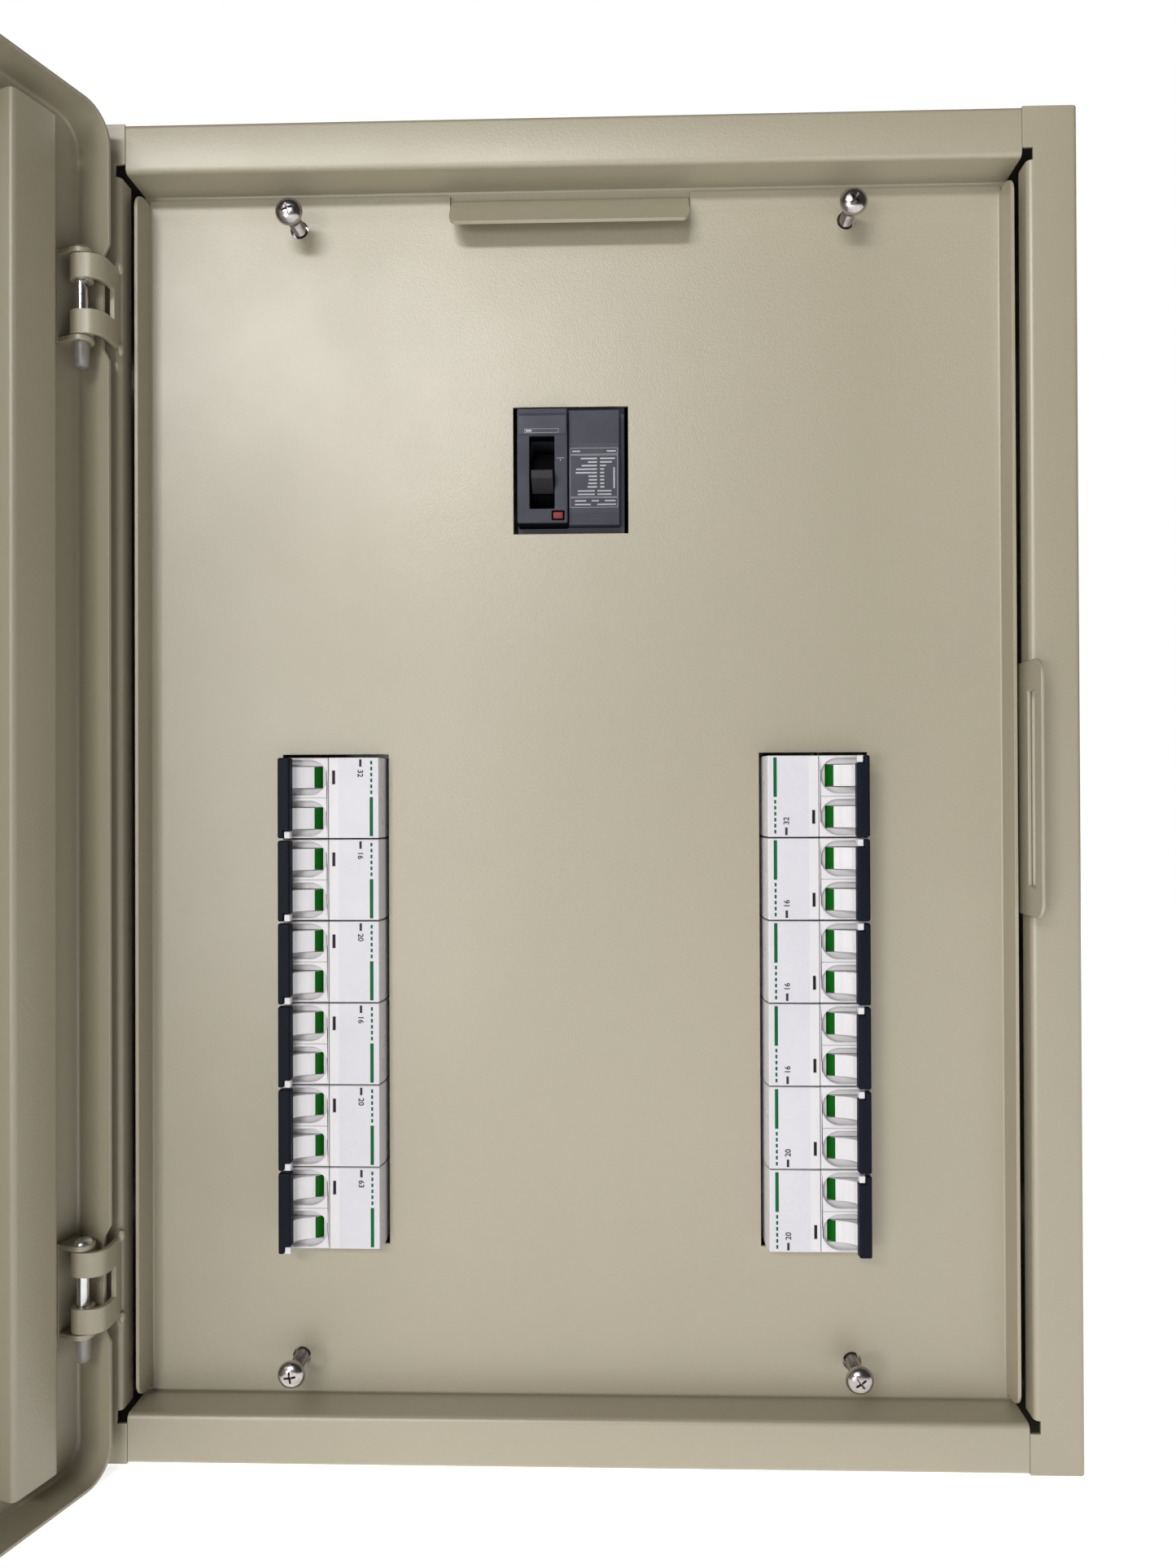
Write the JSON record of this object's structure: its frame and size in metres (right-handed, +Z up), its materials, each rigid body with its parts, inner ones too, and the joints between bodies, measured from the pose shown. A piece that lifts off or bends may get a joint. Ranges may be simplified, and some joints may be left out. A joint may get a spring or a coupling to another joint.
{
  "type": "breaker panel box",
  "caption": "Wall-mounted steel breaker panel box with a hinged door standing open, a removable front cover, a main switch and two columns of modular breakers.",
  "frame": {"origin": "centre of the back face, on the wall", "axes": "+Z up, +Y into the wall so that the front faces -Y, +X towards the lock side"},
  "size_m": [0.5757, 0.5404, 0.58],
  "materials": {
    "painted_sheet": "textured semi-gloss powder coat, beige",
    "zinc_steel": "zinc plated",
    "bright_steel": "bright drawn steel",
    "nickel_screw": "nickel plated, polished",
    "clear_cap": "translucent grey plastic",
    "copper": "bare copper",
    "brass_bar": "drawn brass",
    "red_insulator": "moulded insulator",
    "chrome_lock": "die-cast, chrome plated",
    "slate_plastic": "moulded, fine grain",
    "black_plastic": "moulded black",
    "red_button": "moulded red",
    "white_case": "moulded, slightly glossy white",
    "toggle_plastic": "white drums with a navy grip"
  },
  "bodies": {
    "root": {"back_panel": "painted_sheet", "left_side": "painted_sheet", "right_side": "painted_sheet", "top_panel": "painted_sheet", "bottom_panel": "painted_sheet", "gland_plates": "painted_sheet", "gland_screws": "zinc_steel", "striker_plate": "painted_sheet", "cover_nuts": "zinc_steel", "hinge_arms": "painted_sheet", "mounting_pan": "zinc_steel", "pan_standoffs": "zinc_steel", "pan_screws": "zinc_steel", "din_rails": "zinc_steel", "busbars": "copper", "busbar_supports": "red_insulator", "earth_bar": "brass_bar", "earth_bar_screws": "zinc_steel", "main_switch_base": "slate_plastic", "main_switch_cover": "slate_plastic", "breaker_left_1": "white_case", "breaker_left_2": "white_case", "breaker_left_3": "white_case", "breaker_left_4": "white_case", "breaker_left_5": "white_case", "breaker_left_6": "white_case", "breaker_right_1": "white_case", "breaker_right_2": "white_case", "breaker_right_3": "white_case", "breaker_right_4": "white_case", "breaker_right_5": "white_case", "breaker_right_6": "white_case"},
    "door": {"door_panel": "painted_sheet", "door_stiffeners": "painted_sheet", "hinge_brackets": "painted_sheet", "hinge_pins": "bright_steel", "hinge_pin_caps": "clear_cap", "lock_housing": "chrome_lock", "lock_nut": "zinc_steel"},
    "lock": {"lock_knob": "chrome_lock", "lock_cam": "zinc_steel", "lock_screw": "zinc_steel"},
    "cover": {"front_cover": "painted_sheet", "cover_screws": "nickel_screw"},
    "main_toggle": {"main_switch_toggle": "black_plastic"},
    "trip": {"trip_button": "red_button"},
    "toggle_left_1": {"toggle_left_1": "toggle_plastic"},
    "toggle_left_2": {"toggle_left_2": "toggle_plastic"},
    "toggle_left_3": {"toggle_left_3": "toggle_plastic"},
    "toggle_left_4": {"toggle_left_4": "toggle_plastic"},
    "toggle_left_5": {"toggle_left_5": "toggle_plastic"},
    "toggle_left_6": {"toggle_left_6": "toggle_plastic"},
    "toggle_right_1": {"toggle_right_1": "toggle_plastic"},
    "toggle_right_2": {"toggle_right_2": "toggle_plastic"},
    "toggle_right_3": {"toggle_right_3": "toggle_plastic"},
    "toggle_right_4": {"toggle_right_4": "toggle_plastic"},
    "toggle_right_5": {"toggle_right_5": "toggle_plastic"},
    "toggle_right_6": {"toggle_right_6": "toggle_plastic"}
  },
  "joints": [
    {"name": "door_hinge", "type": "hinge", "parent": "root", "child": "door", "pos_m": [-0.2055, -0.1433, 0], "axis": [0, 0, -1], "range_deg": [-110, 0]},
    {"name": "lock_turn", "type": "hinge", "parent": "door", "child": "lock", "pos_m": [-0.32515, -0.4919, 0], "axis": [-0.9397, 0.342, 0], "range_deg": [0, 90]},
    {"name": "cover_lift", "type": "slide", "parent": "root", "child": "cover", "axis": [0, -1, 0], "range_m": [0, 0.08]},
    {"name": "main_toggle_throw", "type": "hinge", "parent": "root", "child": "main_toggle", "pos_m": [-0.0131, -0.097, 0.1408], "axis": [-1, 0, 0], "range_deg": [0, 24]},
    {"name": "trip_press", "type": "slide", "parent": "root", "child": "trip", "axis": [0, 1, 0], "range_m": [0, 0.0015], "stiffness_N_per_m": 300},
    {"name": "throw_left_1", "type": "hinge", "parent": "root", "child": "toggle_left_1", "pos_m": [-0.1178, -0.111, -0.003], "axis": [0, 0, 1], "range_deg": [0, 46]},
    {"name": "throw_left_2", "type": "hinge", "parent": "root", "child": "toggle_left_2", "pos_m": [-0.1178, -0.111, -0.039], "axis": [0, 0, 1], "range_deg": [0, 46]},
    {"name": "throw_left_3", "type": "hinge", "parent": "root", "child": "toggle_left_3", "pos_m": [-0.1178, -0.111, -0.075], "axis": [0, 0, 1], "range_deg": [0, 46]},
    {"name": "throw_left_4", "type": "hinge", "parent": "root", "child": "toggle_left_4", "pos_m": [-0.1178, -0.111, -0.111], "axis": [0, 0, 1], "range_deg": [0, 46]},
    {"name": "throw_left_5", "type": "hinge", "parent": "root", "child": "toggle_left_5", "pos_m": [-0.1178, -0.111, -0.147], "axis": [0, 0, 1], "range_deg": [0, 46]},
    {"name": "throw_left_6", "type": "hinge", "parent": "root", "child": "toggle_left_6", "pos_m": [-0.1178, -0.111, -0.183], "axis": [0, 0, 1], "range_deg": [0, 46]},
    {"name": "throw_right_1", "type": "hinge", "parent": "root", "child": "toggle_right_1", "pos_m": [0.1178, -0.111, -0.003], "axis": [0, 0, -1], "range_deg": [0, 46]},
    {"name": "throw_right_2", "type": "hinge", "parent": "root", "child": "toggle_right_2", "pos_m": [0.1178, -0.111, -0.039], "axis": [0, 0, -1], "range_deg": [0, 46]},
    {"name": "throw_right_3", "type": "hinge", "parent": "root", "child": "toggle_right_3", "pos_m": [0.1178, -0.111, -0.075], "axis": [0, 0, -1], "range_deg": [0, 46]},
    {"name": "throw_right_4", "type": "hinge", "parent": "root", "child": "toggle_right_4", "pos_m": [0.1178, -0.111, -0.111], "axis": [0, 0, -1], "range_deg": [0, 46]},
    {"name": "throw_right_5", "type": "hinge", "parent": "root", "child": "toggle_right_5", "pos_m": [0.1178, -0.111, -0.147], "axis": [0, 0, -1], "range_deg": [0, 46]},
    {"name": "throw_right_6", "type": "hinge", "parent": "root", "child": "toggle_right_6", "pos_m": [0.1178, -0.111, -0.183], "axis": [0, 0, -1], "range_deg": [0, 46]}
  ]
}
